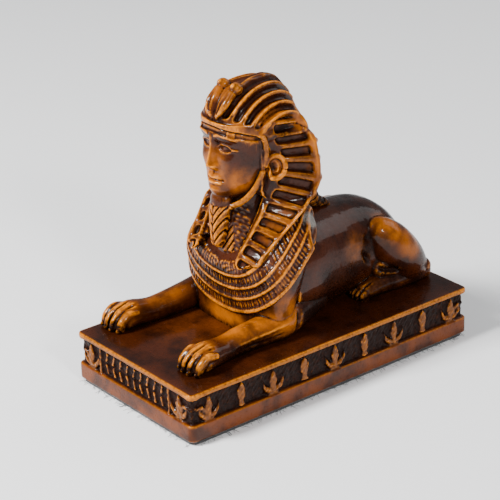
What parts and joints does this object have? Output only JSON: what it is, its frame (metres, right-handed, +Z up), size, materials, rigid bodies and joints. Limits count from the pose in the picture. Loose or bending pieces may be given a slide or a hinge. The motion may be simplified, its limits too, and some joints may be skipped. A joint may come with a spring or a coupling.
{
  "type": "sphinx statuette",
  "caption": "Small cast resin figure of a recumbent sphinx in a striped headcloth and broad collar, on an oblong plinth with a lotus frieze and a felt pad beneath.",
  "frame": {"origin": "on the ground at the middle of the felt pad's underside", "axes": "+Z up, the sphinx looks along -Y, and its left side is +X"},
  "size_m": [0.062, 0.12, 0.1017],
  "materials": {
    "cast_resin": "amber brown cast resin with dark wash in the hollows, worn highlights and gloss varnish",
    "felt": "black felt"
  },
  "bodies": {
    "root": {"sphinx_casting": "cast_resin", "felt_pad": "felt"}
  },
  "joints": []
}
